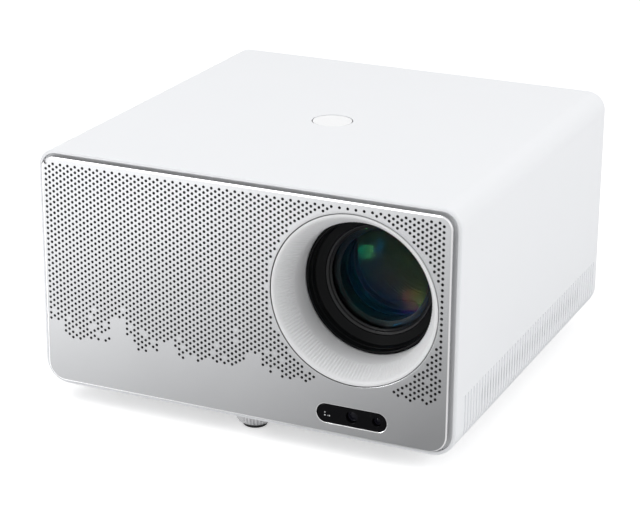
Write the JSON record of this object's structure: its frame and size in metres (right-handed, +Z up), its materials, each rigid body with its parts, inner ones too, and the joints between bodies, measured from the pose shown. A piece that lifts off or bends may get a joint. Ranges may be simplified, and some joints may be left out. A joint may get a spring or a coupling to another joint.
{
  "type": "video projector",
  "caption": "Compact video projector: rounded white sleeve, perforated metal front, deep ribbed lens hood, side air slots, flush top button and a screw foot at the front.",
  "frame": {"origin": "on the table, under the middle of the case and panel", "axes": "+X to the lens side (the right as seen from the front), -Y out of the lens, +Z up"},
  "size_m": [0.238, 0.236, 0.1416],
  "materials": {
    "white_shell": "smooth matte white, faintly cool",
    "hood_plastic": "smooth matte white with fine radial ribs on its cone",
    "button_plastic": "smooth matte white",
    "front_metal": "fine-grained satin sheet with a polished chamfer",
    "frame_plastic": "dull black",
    "window_plastic": "polished black",
    "sensor_glass": "dark coated lens",
    "circuit_board": "green solder mask",
    "inner_plastic": "plain moulded black",
    "speaker_plastic": "black cabinet with a soft cone",
    "fan_plastic": "plain moulded black",
    "wheel_metal": "pale satin, fluted",
    "foot_rubber": "dull black",
    "brass": "turned",
    "steel": "plain",
    "port_metal": "pressed sheet",
    "barrel_plastic": "satin black with turned steps",
    "ring_plastic": "satin black",
    "lens_glass": "coated glass with green and violet reflections",
    "fresnel_plastic": "clear moulded sheet",
    "cast_metal": "cast",
    "sink_metal": "plain extruded"
  },
  "bodies": {
    "case": {"sleeve": "white_shell", "base_cover": "white_shell", "rear_cover": "white_shell", "lens_hood": "hood_plastic", "front_panel": "front_metal", "front_frame": "frame_plastic", "sensor_window": "window_plastic", "sensor_board": "circuit_board", "camera_lens": "sensor_glass", "distance_sensor": "sensor_glass", "button_holder": "inner_plastic", "button_switch": "inner_plastic", "foot_bush": "brass", "tripod_insert": "brass", "rear_foot_left": "foot_rubber", "rear_foot_right": "foot_rubber", "lens_mount": "cast_metal", "optical_engine": "inner_plastic", "front_fresnel": "fresnel_plastic", "rear_fresnel": "fresnel_plastic", "lcd_panel": "inner_plastic", "led_module": "sink_metal", "heat_sink": "sink_metal", "focus_motor": "steel", "exhaust_fan_frame": "inner_plastic", "intake_fan_frame": "inner_plastic", "main_board": "circuit_board", "power_supply": "circuit_board", "hdmi_port_1": "port_metal", "hdmi_port_2": "port_metal", "usb_port_1": "port_metal", "usb_port_2": "port_metal", "audio_jack": "inner_plastic", "mains_inlet": "inner_plastic", "speaker_left": "speaker_plastic", "speaker_right": "speaker_plastic", "base_screw_1": "steel", "rear_screw_1": "steel", "base_screw_2": "steel", "rear_screw_2": "steel", "base_screw_3": "steel", "rear_screw_3": "steel", "base_screw_4": "steel", "rear_screw_4": "steel"},
    "button": {"power_button": "button_plastic"},
    "lens_group": {"lens_barrel": "barrel_plastic", "retaining_ring": "ring_plastic", "front_lens": "lens_glass", "rear_lens": "lens_glass", "focus_nut": "inner_plastic"},
    "focus_screw": {"focus_screw": "brass"},
    "foot_pad": {"foot_pad": "foot_rubber"},
    "foot_wheel": {"foot_wheel": "wheel_metal"},
    "exhaust_rotor": {"exhaust_fan_rotor": "fan_plastic"},
    "intake_rotor": {"intake_fan_rotor": "fan_plastic"}
  },
  "joints": [
    {"name": "button_press", "type": "slide", "parent": "case", "child": "button", "axis": [0, 0, -1], "range_m": [0, 0.001], "stiffness_N_per_m": 800, "springref_m": -0.0005},
    {"name": "focus_travel", "type": "slide", "parent": "case", "child": "lens_group", "axis": [0, 1, 0], "range_m": [-0.003, 0.003]},
    {"name": "focus_screw_turn", "type": "hinge", "parent": "case", "child": "focus_screw", "pos_m": [0.02639, -0.0703, 0.05549], "axis": [0, 1, 0], "range_deg": [-1200, 1200]},
    {"name": "foot_lift", "type": "slide", "parent": "case", "child": "foot_pad", "axis": [0, 0, -1], "range_m": [0, 0.01]},
    {"name": "foot_wheel_turn", "type": "hinge", "parent": "foot_pad", "child": "foot_wheel", "pos_m": [0, -0.0995, 0.0055], "axis": [0, 0, -1], "range_deg": [-200, 2600]},
    {"name": "exhaust_fan_spin", "type": "hinge", "parent": "case", "child": "exhaust_rotor", "pos_m": [0.0634, 0.1047, 0.0865], "axis": [0, 1, 0], "continuous": true},
    {"name": "intake_fan_spin", "type": "hinge", "parent": "case", "child": "intake_rotor", "pos_m": [0.0634, 0, 0.0177], "axis": [0, 0, 1], "continuous": true}
  ],
  "couplings": [
    {"joint": "focus_screw_turn", "follows": "focus_travel", "rad_per_m": -6283.2},
    {"joint": "foot_wheel_turn", "follows": "foot_lift", "rad_per_m": 4188.8}
  ]
}
